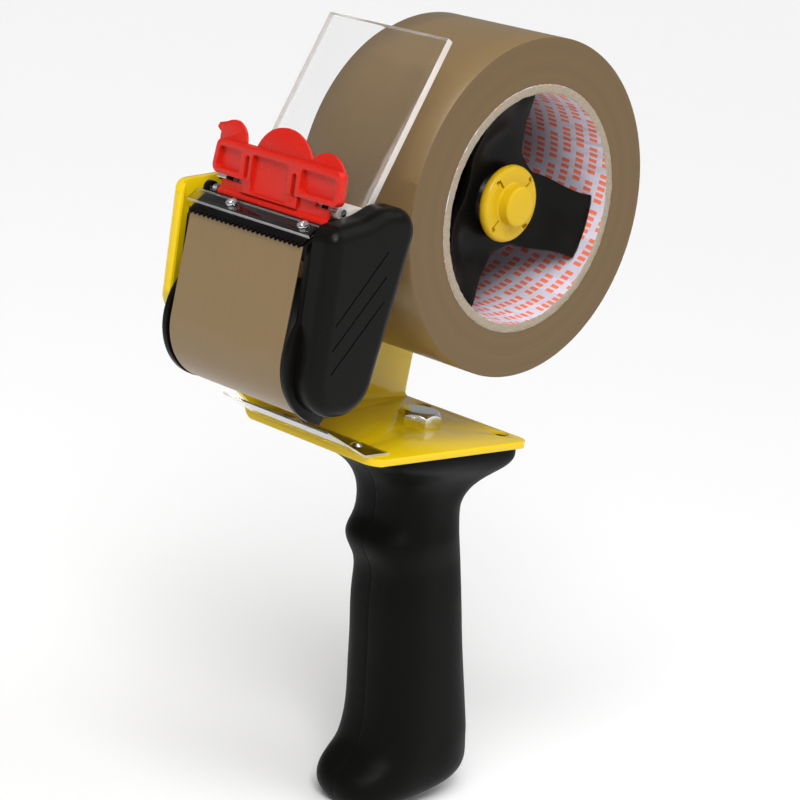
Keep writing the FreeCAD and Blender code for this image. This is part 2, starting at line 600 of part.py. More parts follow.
# ---------------------------------------------------------------- wiper flap and guard
def make_wiper_flap():
    pivot_x, pivot_z = WIPER_PIVOT
    back_x, front_x, rib_x = -91.4, -92.8, -94.6
    barrel = cylinder_y(pivot_x, pivot_z, WIPER_BARREL_RADIUS, WIPER_BARREL_NEAR_Y, WIPER_BARREL_FAR_Y)
    neck = prism_x([(-19.5, -2.5, 0), (11.8, -2.5, 0), (11.8, 4.5, 0), (-19.5, 4.5, 0)], front_x, back_x)
    bar = prism_x([(-25, -2.5, 0), (22, -2.5, 0), (22, 1.2, 0.6), (-25, 1.2, 0.6)], front_x, back_x)
    panel_outline = [
        (WIPER_NEAR_Y, 2.9, 2), (WIPER_FAR_Y, 2.9, 2.5), (WIPER_FAR_Y - 1.5, 13.6, 2.5),
        (WIPER_NEAR_Y, 13.6, 2.5),
    ]
    panel = prism_x(panel_outline, front_x, back_x)
    rim = prism_x(panel_outline, rib_x, front_x)
    windows = (
        [(-28.5, 4.6, 1.2), (-13.6, 4.6, 1.2), (-13.6, 11.4, 1.2), (-28.5, 11.4, 1.2)],
        [(-8.2, -0.5, 1.2), (7.8, -0.5, 1.2), (7.8, 11.4, 1.2), (-8.2, 11.4, 1.2)],
        [(12.9, 4.6, 1.2), (23.6, 4.6, 1.2), (22.8, 11.4, 1.2), (12.9, 11.4, 1.2)],
    )
    neck_rim_outline = [(-12.6, -0.9, 0), (11.8, -0.9, 0), (11.8, 4.5, 0), (-12.6, 4.5, 0)]
    neck_rim = prism_x(neck_rim_outline, rib_x + 0.6, front_x)
    rim = rim.fuse(neck_rim)
    for window in windows:
        rim = rim.cut(prism_x(window, rib_x - 1, front_x))
    flap = barrel.fuse(neck).fuse(bar).fuse(panel).fuse(rim)
    lobes = ((19.6, 13.8, 5.9), (-3.4, 8.2, 13.3), (-21.7, 9.4, 8.2))
    forward = FreeCAD.Vector(-1, 0, 0)
    for y, z, radius in lobes:
        lobe = Part.makeCylinder(radius, 1.0, FreeCAD.Vector(back_x, y, z), forward)
        flap = flap.fuse(lobe.common(box(-100, -80, WIPER_NEAR_Y, WIPER_FAR_Y, 8, 30)))
    hook = [(18, 14, 0), (23.8, 14, 0.4), (27.2, 16.3, 0.5), (26.4, 17.8, 0.5), (20, 19.6, 2), (18, 19.6, 0)]
    flap = flap.fuse(prism_x(hook, back_x - 1.0, back_x))
    for y, z0, z1 in ((9.95, 3.2, 10.6), (-10.9, 1.6, 9.4)):
        slot = [(y - 0.9, z0, 0.8), (y + 0.9, z0, 0.8), (y + 0.9, z1, 0.8), (y - 0.9, z1, 0.8)]
        flap = flap.cut(prism_x(slot, rib_x - 1, back_x + 1))
    flap = flap.cut(cylinder_y(pivot_x, pivot_z, WIPER_PIN_RADIUS + RUNNING, -30, 30))
    return flap.removeSplitter()


def make_guard_flap():
    pivot_x, pivot_z = GUARD_PIVOT
    lean = math.radians(GUARD_LEAN)
    along = FreeCAD.Vector(math.cos(lean), math.sin(lean), 0)
    foot = FreeCAD.Vector(*GUARD_FOOT, 0)
    top = foot + along * GUARD_LENGTH
    out = FreeCAD.Vector(math.sin(lean), -math.cos(lean), 0) * GUARD_THICKNESS
    plate = plate_xz(
        [(foot.x, foot.y, 0), (foot.x + out.x, foot.y + out.y, 0.8),
         (top.x + out.x, top.y + out.y, 0.4), (top.x, top.y, 0.4)],
        GUARD_NEAR_Y, GUARD_FAR_Y,
    )
    tongue = plate_xz(
        [(pivot_x, pivot_z - 1.2, 0), (foot.x + 1, foot.y - 0.6, 0), (foot.x + 1, foot.y + 1.4, 0),
         (pivot_x, pivot_z + 0.8, 0)],
        GUARD_NEAR_Y, GUARD_FAR_Y,
    )
    barrel = cylinder_y(pivot_x, pivot_z, GUARD_BARREL_RADIUS, GUARD_NEAR_Y, GUARD_FAR_Y)
    guard = plate.fuse(tongue).fuse(barrel)
    beside_lug = 0.3
    near_gap = (-LUG_INNER_Y - LUG_WIDTH - beside_lug, -LUG_INNER_Y + beside_lug)
    far_gap = (GUARD_SPRING_Y - 0.4, GUARD_FAR_Y + 1)
    for y0, y1 in (near_gap, far_gap):
        guard = guard.cut(box(pivot_x - 4, pivot_x + 4.6, y0, y1, -5, 6))
    guard = guard.cut(cylinder_y(pivot_x, pivot_z, GUARD_PIN_RADIUS + RUNNING, -40, 40))
    return guard.removeSplitter()


def make_torsion_spring(x, z, coil_radius, wire_radius, y0, turns):
    pitch = wire_radius * 2.15
    coil = Part.Wire(Part.makeHelix(pitch, pitch * turns, coil_radius))
    section = Part.Wire(Part.makeCircle(wire_radius, FreeCAD.Vector(coil_radius, 0, 0), Y_AXIS))
    spring = coil.makePipeShell([section], True, True)
    spring.rotate(ORIGIN, FreeCAD.Vector(1, 0, 0), -90)
    spring.translate(FreeCAD.Vector(x, y0, z))
    return spring


# ---------------------------------------------------------------- small sheet and turned parts
def make_nonreturn_leaf():
    low = BASE_TOP_Z
    corners = [
        (-49, low, 0), (-60, low, 0), (-78.0, low + 9.2, 0), (-78.4, low + 9.9, 0),
        (-60.2, low + LEAF_THICKNESS, 0), (-49, low + LEAF_THICKNESS, 0),
    ]
    leaf = plate_xz(corners, -LEAF_HALF_WIDTH, LEAF_HALF_WIDTH)
    for y in (-LEAF_RIVET_Y, LEAF_RIVET_Y):
        leaf = leaf.cut(cylinder_z(LEAF_RIVET_X, y, LEAF_RIVET_RADIUS, -85, -70))
    return leaf


def make_leaf_rivets():
    rivets = []
    for y in (-LEAF_RIVET_Y, LEAF_RIVET_Y):
        top = BASE_TOP_Z + LEAF_THICKNESS
        shank = cylinder_z(LEAF_RIVET_X, y, LEAF_RIVET_RADIUS, BASE_BOTTOM_Z, top)
        head = Part.makeCone(2.2, 1.3, 0.8, FreeCAD.Vector(LEAF_RIVET_X, y, top), Z_AXIS)
        rivets.append(shank.fuse(head))
    return Part.makeCompound(rivets)


def make_tie_rod():
    rod = cylinder_y(TIE_X, TIE_Z, TIE_RADIUS, -CHEEK_INNER_Y - CHEEK_THICKNESS - 1.5, SIDE_OUTER_Y)
    sleeve = ring_y(TIE_X, TIE_Z, TIE_RADIUS, 4.0, -CHEEK_INNER_Y, CHEEK_INNER_Y)
    return rod.fuse(sleeve)


def main():
    os.makedirs("parts", exist_ok=True)
    half_tape = TAPE_WIDTH / 2
    save(make_frame(), "frame")
    near, far = make_handle()
    save(near, "handle_near_half")
    save(far, "handle_far_half")
    save(make_handle_screws(), "handle_screws")
    save(make_handle_bolt(), "handle_bolt")
    save(make_handle_nut(), "handle_nut")

    save(make_hub_axle(), "hub_axle")
    save(ring_y(0, 0, JOURNAL_RADIUS, 12, HUB_REAR_Y + TINY, 28), "friction_washer")
    save(ring_y(0, 0, JOURNAL_RADIUS + RUNNING, BUSH_OUTER_RADIUS, -3.9, HUB_REAR_Y), "hub_bush")
    save(make_core_hub(), "core_hub")
    save(keyed_washer(BRAKE_WASHER_RADIUS, -5.3, POCKET_FLOOR_Y - TINY), "brake_seat_washer")
    save(make_brake_spring(), "brake_spring")
    save(keyed_washer(BRAKE_WASHER_RADIUS, -11.9, -10.9), "brake_pressure_washer")
    save(make_brake_knob(), "brake_knob")
    save(ring_y(0, 0, CORE_INNER_RADIUS, CORE_OUTER_RADIUS, -half_tape, half_tape), "tape_core")
    save(ring_y(0, 0, CORE_OUTER_RADIUS, ROLL_RADIUS, -half_tape, half_tape), "tape_roll")
    save(make_tape_web(), "tape_web")

    sleeve = ring_y(ROLLER_X, ROLLER_Z, 15, ROLLER_RADIUS, -ROLLER_HALF_LENGTH, ROLLER_HALF_LENGTH)
    save(sleeve, "roller_sleeve")
    save(make_roller_core(), "roller_core")
    save(make_roller_bushes(), "roller_bushes")
    save(cylinder_y(ROLLER_X, ROLLER_Z, AXLE_RADIUS, -33.5, SIDE_OUTER_Y), "roller_axle")
    nut = hexagon_prism_y(ROLLER_X, ROLLER_Z, 13, -33, -CHEEK_INNER_Y - CHEEK_THICKNESS)
    save(nut.cut(cylinder_y(ROLLER_X, ROLLER_Z, AXLE_RADIUS, -40, 0)), "roller_axle_nut")
    save(make_cheek(True), "near_cheek")
    save(make_cheek(False), "far_cheek")
    save(make_tie_rod(), "tie_rod")
    save(make_near_cover(), "near_cover")
    save(make_cover_screws(), "cover_screws")

    save(make_blade_carrier(), "blade_carrier")
    save(make_blade(), "blade")
    save(make_blade_clamp(), "blade_clamp")
    save(make_blade_screws(), "blade_screws")

    pin_end = CHEEK_INNER_Y + CHEEK_THICKNESS
    save(make_wiper_flap(), "wiper_flap")
    save(cylinder_y(*WIPER_PIVOT, WIPER_PIN_RADIUS, -pin_end, pin_end), "wiper_pin")
    save(make_guard_flap(), "guard_flap")
    save(cylinder_y(*GUARD_PIVOT, GUARD_PIN_RADIUS, -27.5, 27.5), "guard_pin")
    save(make_torsion_spring(*WIPER_PIVOT, 1.5, 0.3, 23.3, 3.5), "wiper_spring")
    save(make_torsion_spring(*GUARD_PIVOT, 1.75, 0.3, 17.4, 3.2), "guard_spring")

    save(make_nonreturn_leaf(), "nonreturn_leaf")
    save(make_leaf_rivets(), "leaf_rivets")


main()
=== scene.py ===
import json
import math
import random

import bpy
from mathutils import Matrix, Vector


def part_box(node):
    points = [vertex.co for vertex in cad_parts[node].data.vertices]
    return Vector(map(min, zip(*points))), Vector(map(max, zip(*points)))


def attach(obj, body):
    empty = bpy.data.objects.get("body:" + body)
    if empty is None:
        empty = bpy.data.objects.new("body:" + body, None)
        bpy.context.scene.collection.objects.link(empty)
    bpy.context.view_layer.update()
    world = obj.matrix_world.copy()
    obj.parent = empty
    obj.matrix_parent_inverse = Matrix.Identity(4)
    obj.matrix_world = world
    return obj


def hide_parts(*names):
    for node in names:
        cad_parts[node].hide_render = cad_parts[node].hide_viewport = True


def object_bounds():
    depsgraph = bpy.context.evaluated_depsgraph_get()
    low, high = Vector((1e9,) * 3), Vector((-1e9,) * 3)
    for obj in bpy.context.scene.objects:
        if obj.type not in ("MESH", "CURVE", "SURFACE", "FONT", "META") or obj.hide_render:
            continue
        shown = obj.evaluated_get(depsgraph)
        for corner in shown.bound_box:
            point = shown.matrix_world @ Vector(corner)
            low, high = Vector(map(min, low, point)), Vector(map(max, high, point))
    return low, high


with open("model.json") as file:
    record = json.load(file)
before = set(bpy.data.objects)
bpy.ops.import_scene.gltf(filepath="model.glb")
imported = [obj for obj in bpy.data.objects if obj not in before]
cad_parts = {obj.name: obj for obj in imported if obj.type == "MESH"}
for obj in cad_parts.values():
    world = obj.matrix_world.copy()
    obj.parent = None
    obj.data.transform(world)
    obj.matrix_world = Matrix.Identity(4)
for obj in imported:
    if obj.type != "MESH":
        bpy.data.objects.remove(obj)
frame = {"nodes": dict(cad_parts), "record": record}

bl_info = {
    "name": "Tape gun dispenser",
    "version": (1, 0, 0),
    "blender": (4, 5, 0),
    "location": "View3D > Sidebar > Tape gun",
    "description": "Builds the visible pieces and finishes of a hand-held packing tape dispenser",
    "category": "Object",
}

MM = 0.001
CAD_BOX = [list(corner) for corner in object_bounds()]
COVER_FACE_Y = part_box("near_cover")[0].y
ARM_ANGLES = (-12.0, 108.0, 228.0)      # degrees from the rear, seen from the open side
ROLL_CENTRE = (0.0, 0.0)
GUARD_LEAN = 64.0               # degrees up from level
SMOOTH_ANGLE = math.radians(32)


# ---------------------------------------------------------------- settings
class TapeGunFinishes(bpy.types.PropertyGroup):
    """Colours of the dispenser, as sRGB hex values."""
    powder_yellow: bpy.props.StringProperty(
        name="Powder coat", description="Colour of the sheet frame", default="#DDBC0A")
    knob_yellow: bpy.props.StringProperty(
        name="Brake knob", description="Colour of the brake knob", default="#C8A40D")
    grip_black: bpy.props.StringProperty(
        name="Grip", description="Colour of the pistol grip", default="#080807")
    moulded_black: bpy.props.StringProperty(
        name="Covers and hub", description="Colour of the cheeks, the cover and the hub", default="#0B0A09")
    wiper_red: bpy.props.StringProperty(
        name="Wiper flap", description="Colour of the wiper flap", default="#C41C0D")
    film_brown: bpy.props.StringProperty(
        name="Tape", description="Colour of the tape's outer face", default="#7D6644")
    film_edge: bpy.props.StringProperty(
        name="Tape edges", description="Colour of the wound edges of the tape", default="#6A5433")
    core_paper: bpy.props.StringProperty(
        name="Core lining", description="Colour of the paper inside the core", default="#C6C2D0")
    core_print: bpy.props.StringProperty(
        name="Core print", description="Colour of the marks on the core's lining", default="#E8632B")


class TapeGunSizes(bpy.types.PropertyGroup):
    """Sizes of the edges and of the seams."""
    sheet_edge: bpy.props.FloatProperty(
        name="Sheet edge", description="Radius on the cut edges of the steel sheet",
        default=0.0005, unit="LENGTH")
    moulded_edge: bpy.props.FloatProperty(
        name="Moulded edge", description="Radius on the edges of the moulded pieces",
        default=0.0003, unit="LENGTH")
    acrylic_edge: bpy.props.FloatProperty(
        name="Acrylic edge", description="Radius on the edges of the clear guard",
        default=0.00035, unit="LENGTH")
    seam: bpy.props.FloatProperty(
        name="Grip seam", description="Half width of the seam between the grip's halves",
        default=0.00022, unit="LENGTH")


def finishes():
    return bpy.context.scene.tape_gun_finishes


def sizes():
    return bpy.context.scene.tape_gun_sizes


# ---------------------------------------------------------------- materials
def linear(hex_colour):
    """An sRGB hex colour as linear red, green, blue and alpha."""
    channels = [int(hex_colour[k:k + 2], 16) / 255 for k in (1, 3, 5)]
    turned = [c / 12.92 if c <= 0.04045 else ((c + 0.055) / 1.055) ** 2.4 for c in channels]
    return (*turned, 1.0)


def add_node(material, kind, settings=None, links=None):
    """Adds a node; settings go to its sockets or properties, links feed sockets from (node, output)."""
    tree = material.node_tree
    node = tree.nodes.new(kind)
    for key, value in (settings or {}).items():
        if isinstance(key, str) and hasattr(node, key):
            setattr(node, key, value)
        else:
            node.inputs[key].default_value = value
    for key, (source, output) in (links or {}).items():
        tree.links.new(source.outputs[output], node.inputs[key])
    return node


def new_material(name):
    material = bpy.data.materials.new(name)
    material.use_nodes = True
    material.node_tree.nodes.clear()
    return material


def close(material, shader, output="BSDF"):
    add_node(material, "ShaderNodeOutputMaterial", links={"Surface": (shader, output)})
    return material


def object_place(material):
    return add_node(material, "ShaderNodeTexCoord")


def grain(material, place, size_mm, strength, depth_mm, detail=2.0):
    """Bump of fine grain whose bumps are size_mm across."""
    noise = add_node(
        material, "ShaderNodeTexNoise", {"Scale": 1 / (size_mm * MM), "Detail": detail},
        {"Vector": (place, "Object")})
    return add_node(
        material, "ShaderNodeBump", {"Strength": strength, "Distance": depth_mm * MM},
        {"Height": (noise, "Fac")})


def uneven_roughness(material, place, size_mm, low, high):
    """Roughness that wanders between low and high in patches size_mm across."""
    noise = add_node(
        material, "ShaderNodeTexNoise", {"Scale": 1 / (size_mm * MM), "Detail": 3.0},
        {"Vector": (place, "Object")})
    return add_node(
        material, "ShaderNodeMapRange", {"From Min": 0.3, "From Max": 0.7, "To Min": low, "To Max": high},
        {"Value": (noise, "Fac")})


def powder_coat():
    """Gloss polyester powder coat on steel: a hard clear-looking skin with faint orange peel."""
    material = new_material("gloss_powder_coat_yellow")
    place = object_place(material)
    # real orange peel is 1 to 3 mm from crest to crest
    peel = grain(material, place, 2.2, 0.12, 0.05, 1.0)
    rough = uneven_roughness(material, place, 14, 0.16, 0.24)
    shader = add_node(
        material, "ShaderNodeBsdfPrincipled",
        {"Base Color": linear(finishes().powder_yellow), "IOR": 1.5, "Specular IOR Level": 0.22,
         "Coat Weight": 0.22, "Coat Roughness": 0.05, "Coat IOR": 1.5},
        {"Normal": (peel, "Normal"), "Roughness": (rough, "Result")})
    return close(material, shader)


def textured_abs():
    """ABS moulded in a spark-eroded tool: matt black with a fine even grain."""
    material = new_material("spark_textured_abs_black")
    place = object_place(material)
    # the tool's grain is near 0.1 mm; 0.45 mm is the finest that still shows
    texture = grain(material, place, 0.45, 0.35, 0.06, 2.0)
    rough = uneven_roughness(material, place, 22, 0.42, 0.54)
    shader = add_node(
        material, "ShaderNodeBsdfPrincipled",
        {"Base Color": linear(finishes().grip_black), "IOR": 1.53, "Specular IOR Level": 0.06},
        {"Normal": (texture, "Normal"), "Roughness": (rough, "Result")})
    return close(material, shader)


def satin_abs(name, painted_groove_highlight=False):
    """ABS moulded in a polished tool: black with a soft sheen, and, when asked, a pale grey painted highlight on the
    floors of engraved lines, standing in for light caught by the grooves' edges.
    """
    material = new_material(name)
    place = object_place(material)
    flow = grain(material, place, 3.0, 0.08, 0.05, 2.0)
    rough = uneven_roughness(material, place, 9, 0.27, 0.37)
    shader = add_node(
        material, "ShaderNodeBsdfPrincipled",
        {"Base Color": linear(finishes().moulded_black), "IOR": 1.53, "Specular IOR Level": 0.09},
        {"Normal": (flow, "Normal"), "Roughness": (rough, "Result")})
    if painted_groove_highlight:
        split = add_node(material, "ShaderNodeSeparateXYZ", links={"Vector": (place, "Object")})
        normal = add_node(material, "ShaderNodeSeparateXYZ", links={"Vector": (place, "Normal")})
        below_face = math_chain(material, (split, "Y"), ("GREATER_THAN", COVER_FACE_Y + 0.1 * MM))
        near_face = math_chain(material, (split, "Y"), ("LESS_THAN", COVER_FACE_Y + 0.7 * MM))
        level = math_chain(material, (normal, "Y"), ("LESS_THAN", -0.9995))
        # the pale grey on the groove floors is a painted highlight for the light that the grooves' edges catch
        groove_highlight_mask = math_chain(material, below_face, ("MULTIPLY", near_face), ("MULTIPLY", level))
        colour = add_node(
            material, "ShaderNodeMixRGB",
            {"Color1": linear(finishes().moulded_black), "Color2": linear("#8B8A86")}, {"Fac": groove_highlight_mask})
        material.node_tree.links.new(colour.outputs[0], shader.inputs["Base Color"])
    return close(material, shader)


def coloured_plastic(name, hex_colour, low, high, glow):
    """Solid-coloured moulded plastic: light goes a little way in, so its shadows stay warm."""
    material = new_material(name)
    place = object_place(material)
    flow = grain(material, place, 1.8, 0.07, 0.04, 2.0)
    rough = uneven_roughness(material, place, 6, low, high)
    shader = add_node(
        material, "ShaderNodeBsdfPrincipled",
        {"Base Color": linear(hex_colour), "IOR": 1.49, "Subsurface Weight": glow,
         "Subsurface Radius": (1.0, 0.35, 0.15), "Subsurface Scale": 0.8 * MM,
         "Specular IOR Level": 0.3},
        {"Normal": (flow, "Normal"), "Roughness": (rough, "Result")})
    return close(material, shader)


def clear_sheet(name, tint, edge_tint, edge_towards):
    """Clear plastic sheet: see-through faces, and cut edges that carry the light and look white.

    edge_towards lists directions; a face whose normal is near one of them, either way, is a cut edge."""
    material = new_material(name)
    place = object_place(material)
    edge = None
    for direction in edge_towards:
        along = add_node(
            material, "ShaderNodeVectorMath", {"operation": "DOT_PRODUCT", 1: direction},
            {0: (place, "Normal")})
        one = math_chain(material, (along, "Value"), ("ABSOLUTE", None), ("GREATER_THAN", 0.6))
        edge = one if edge is None else math_chain(material, edge, ("MAXIMUM", one))
    saw_marks = grain(material, place, 0.6, 0.3, 0.05, 2.0)
    ripple = grain(material, place, 6.0, 0.05, 0.05, 1.0)
    faces = add_node(
        material, "ShaderNodeBsdfPrincipled",
        {"Base Color": linear(tint), "Roughness": 0.01, "IOR": 1.07, "Transmission Weight": 1.0,
         "Coat Weight": 0.9, "Coat Roughness": 0.02, "Coat IOR": 1.49}, {"Normal": (ripple, "Normal")})
    edges = add_node(
        material, "ShaderNodeBsdfPrincipled",
        {"Base Color": linear(edge_tint), "Roughness": 0.25, "IOR": 1.07, "Transmission Weight": 0.45,
         "Coat Weight": 0.6, "Coat Roughness": 0.1}, {"Normal": (saw_marks, "Normal")})
    mixed = add_node(material, "ShaderNodeMixShader", links={0: edge, 1: (faces, "BSDF"), 2: (edges, "BSDF")})
    return close(material, mixed, "Shader")


def tape_film():
    """Brown polypropylene film: satin outside, and fine rings where hundreds of turns show their edges."""
    material = new_material("brown_polypropylene_film")
    place = object_place(material)
    split = add_node(material, "ShaderNodeSeparateXYZ", links={"Vector": (place, "Object")})
    normal = add_node(material, "ShaderNodeSeparateXYZ", links={"Vector": (place, "Normal")})
    facing = add_node(material, "ShaderNodeMath", {"operation": "ABSOLUTE"}, {0: (normal, "Y")})
    on_edge = add_node(
        material, "ShaderNodeMapRange", {"From Min": 0.55, "From Max": 0.8}, {"Value": (facing, 0)})
    flat = add_node(
        material, "ShaderNodeCombineXYZ", links={"X": (split, "X"), "Z": (split, "Z")})
    radius = add_node(
        material, "ShaderNodeVectorMath", {"operation": "LENGTH"}, {0: (flat, 0)})
    # one turn is 0.05 mm of film; rings of 0.35 mm are the finest that still show
    rings = add_node(
        material, "ShaderNodeTexNoise",
        {"noise_dimensions": "1D", "Scale": 1 / (0.35 * MM), "Detail": 3.0}, {"W": (radius, "Value")})
    broad = add_node(
        material, "ShaderNodeTexNoise",
        {"noise_dimensions": "1D", "Scale": 1 / (3.2 * MM), "Detail": 1.0}, {"W": (radius, "Value")})
    ring_mix = add_node(
        material, "ShaderNodeMix", {"data_type": "FLOAT", 0: 0.45}, {2: (rings, "Fac"), 3: (broad, "Fac")})
    edge_colour = add_node(
        material, "ShaderNodeMixRGB",
        {"Color1": linear("#5D4829"), "Color2": linear(finishes().film_edge)}, {"Fac": (ring_mix, 0)})
    # the film's own faint lengthwise streaks, 2 mm wide
    streaks = add_node(
        material, "ShaderNodeTexNoise",
        {"noise_dimensions": "1D", "Scale": 1 / (2.0 * MM), "Detail": 2.0}, {"W": (split, "Y")})
    face_colour = add_node(
        material, "ShaderNodeMixRGB",
        {"Color1": linear("#79623F"), "Color2": linear(finishes().film_brown)}, {"Fac": (streaks, "Fac")})
    colour = add_node(
        material, "ShaderNodeMixRGB",
        links={"Fac": (on_edge, 0), "Color1": (face_colour, 0), "Color2": (edge_colour, 0)})
    height = add_node(
        material, "ShaderNodeMix", {"data_type": "FLOAT"},
        {0: (on_edge, 0), 2: (streaks, "Fac"), 3: (rings, "Fac")})
    depth = add_node(
        material, "ShaderNodeMapRange", {"To Min": 0.05, "To Max": 0.4}, {"Value": (on_edge, 0)})
    bump = add_node(
        material, "ShaderNodeBump", {"Distance": 0.06 * MM}, {"Height": (height, 0), "Strength": (depth, 0)})
    rough = add_node(
        material, "ShaderNodeMapRange", {"To Min": 0.33, "To Max": 0.55}, {"Value": (on_edge, 0)})
    shader = add_node(
        material, "ShaderNodeBsdfPrincipled", {"IOR": 1.49},
        {"Base Color": (colour, 0), "Roughness": (rough, 0), "Normal": (bump, "Normal")})
    return close(material, shader)


def math_chain(material, start, *steps):
    """Runs a value through Math nodes; each step is (operation, second value)."""
    last = start
    for operation, second in steps:
        settings = {"operation": operation}
        links = {0: last}
        if isinstance(second, tuple):
            links[1] = second
        elif second is not None:
            settings[1] = second
        last = (add_node(material, "ShaderNodeMath", settings, links), 0)
    return last


def core_board():
    """Wound board lined with printed paper: cut grey-brown plies at the ends, orange marks inside."""
    material = new_material("lined_core_board")
    place = object_place(material)
    split = add_node(material, "ShaderNodeSeparateXYZ", links={"Vector": (place, "Object")})
    normal = add_node(material, "ShaderNodeSeparateXYZ", links={"Vector": (place, "Normal")})
    cut_end = math_chain(material, (normal, "Y"), ("ABSOLUTE", None), ("GREATER_THAN", 0.6))
    turn = math_chain(material, (split, "Z"), ("ARCTAN2", (split, "X")), ("MULTIPLY", 38.0))
    across = math_chain(material, (split, "Y"), ("MULTIPLY", 1000.0))
    sheet = add_node(material, "ShaderNodeCombineXYZ", links={"X": turn, "Y": across})
    slanted = add_node(
        material, "ShaderNodeMapping", {"Rotation": (0, 0, math.radians(14))}, {"Vector": (sheet, 0)})
    lie = add_node(material, "ShaderNodeSeparateXYZ", links={"Vector": (slanted, 0)})
    row_pitch, group_pitch = 5.6, 13.2
    row = math_chain(material, (lie, "Y"), ("DIVIDE", row_pitch))
    in_row = math_chain(material, row, ("FRACT", None))
    tall = math_chain(material, in_row, ("LESS_THAN", 0.58))
    shift = math_chain(material, row, ("FLOOR", None), ("MULTIPLY", 0.37))
    lean = math_chain(material, in_row, ("MULTIPLY", 0.05))
    run = math_chain(
        material, (lie, "X"), ("DIVIDE", group_pitch), ("ADD", shift), ("ADD", lean), ("FRACT", None))
    # a printed group is five plain leaning bars and a space, so it says nothing
    bars = math_chain(material, run, ("MULTIPLY", 5.8))
    wide = math_chain(material, bars, ("FRACT", None), ("LESS_THAN", 0.62))
    not_gap = math_chain(material, bars, ("LESS_THAN", 5.0))
    ink = math_chain(
        material, tall, ("MULTIPLY", wide), ("MULTIPLY", not_gap), ("MULTIPLY", 0.88))
    lining = add_node(
        material, "ShaderNodeMixRGB",
        {"Color1": linear(finishes().core_paper), "Color2": linear(finishes().core_print)}, {"Fac": ink})
    fibres = add_node(
        material, "ShaderNodeTexNoise", {"Scale": 1 / (0.9 * MM), "Detail": 5.0, "Roughness": 0.7},
        {"Vector": (place, "Object")})
    ply = add_node(
        material, "ShaderNodeMixRGB", {"Color1": linear("#6F6454"), "Color2": linear("#B4A894")},
        {"Fac": (fibres, "Fac")})
    colour = add_node(
        material, "ShaderNodeMixRGB", links={"Fac": cut_end, "Color1": (lining, 0), "Color2": (ply, 0)})
    bump = add_node(
        material, "ShaderNodeBump", {"Strength": 0.5, "Distance": 0.15 * MM}, {"Height": (fibres, "Fac")})
    shader = add_node(
        material, "ShaderNodeBsdfPrincipled", {"Roughness": 0.72, "IOR": 1.45, "Specular IOR Level": 0.35},
        {"Base Color": (colour, 0), "Normal": (bump, "Normal")})
    return close(material, shader)


def plain_metal(name, hex_colour, low, high, scratch_mm, depth):
    """Plated or drawn steel: mirror-like with faint scratches scratch_mm across."""
    material = new_material(name)
    place = object_place(material)
    marks = grain(material, place, scratch_mm, depth, 0.03, 4.0)
    rough = uneven_roughness(material, place, 2.5, low, high)
    shader = add_node(
        material, "ShaderNodeBsdfPrincipled", {"Base Color": linear(hex_colour), "Metallic": 1.0},
        {"Normal": (marks, "Normal"), "Roughness": (rough, "Result")})
    return close(material, shader)


def dull(name, hex_colour, light_hex, roughness, size_mm, depth):
    """Unpolished rubber, nylon or fibre: dull, with a mottle size_mm across."""
    material = new_material(name)
    place = object_place(material)
    mottle = add_node(
        material, "ShaderNodeTexNoise", {"Scale": 1 / (size_mm * MM), "Detail": 4.0},
        {"Vector": (place, "Object")})
    colour = add_node(
        material, "ShaderNodeMixRGB", {"Color1": linear(hex_colour), "Color2": linear(light_hex)},
        {"Fac": (mottle, "Fac")})
    bump = add_node(
        material, "ShaderNodeBump", {"Strength": depth, "Distance": 0.05 * MM}, {"Height": (mottle, "Fac")})
    shader = add_node(
        material, "ShaderNodeBsdfPrincipled", {"Roughness": roughness},
        {"Base Color": (colour, 0), "Normal": (bump, "Normal")})
    return close(material, shader)


MATERIALS = {}


def make_materials():
    look = finishes()
    lean = math.radians(GUARD_LEAN)
    MATERIALS.update({
        "yellow_paint": powder_coat(),
        "black_abs": textured_abs(),
        "black_gloss": satin_abs("satin_moulded_abs_black"),
        # the cover's groove floors carry a painted highlight
        "cover_groove_highlight": satin_abs("satin_abs_black_groove_highlight", painted_groove_highlight=True),
        "yellow_abs": coloured_plastic("moulded_abs_yellow", look.knob_yellow, 0.26, 0.36, 0.08),
        "red_plastic": coloured_plastic("moulded_nylon_red", look.wiper_red, 0.2, 0.3, 0.05),
        "clear_plastic": clear_sheet(
            "clear_cast_acrylic", "#FDFDFD", "#F2EDE8", ((0, 1, 0), (math.cos(lean), 0, math.sin(lean)))),
        "clear_clamp": clear_sheet("clear_moulded_polycarbonate", "#EDEAE6", "#FFFFFF", ((0.8, 0, 0.6),)),
        "clear_leaf": clear_sheet("clear_polyester_leaf", "#F1EEE0", "#E8E4D4", ((0, 1, 0),)),
        "tape_film": tape_film(),
        "core_board": core_board(),
        "roller_rubber": dull("ground_rubber_black", "#171717", "#232323", 0.75, 0.8, 0.4),
        "grey_nylon": dull("moulded_nylon_grey", "#7C7C79", "#8E8E8A", 0.5, 1.5, 0.1),
        "zinc_steel": plain_metal("bright_zinc_plate", "#E6E8EA", 0.1, 0.2, 0.5, 0.1),
        "spring_steel": plain_metal("drawn_spring_wire", "#8C8E92", 0.25, 0.35, 0.3, 0.2),
        "blade_steel": plain_metal("blacked_blade_steel", "#131314", 0.4, 0.5, 0.4, 0.2),
        "fibre": dull("pressed_fibre", "#3F3226", "#58483A", 0.9, 0.6, 0.6),
    })


# ---------------------------------------------------------------- modelling helpers
def object_mode():
    if bpy.context.object and bpy.context.object.mode != "OBJECT":
        bpy.ops.object.mode_set(mode="OBJECT")


def select_only(piece):
    object_mode()
    bpy.ops.object.select_all(action="DESELECT")
    piece.select_set(True)
    bpy.context.view_layer.objects.active = piece


def edit(piece, mode="FACE"):
    select_only(piece)
    bpy.ops.object.mode_set(mode="EDIT")
    bpy.ops.mesh.select_mode(type=mode)


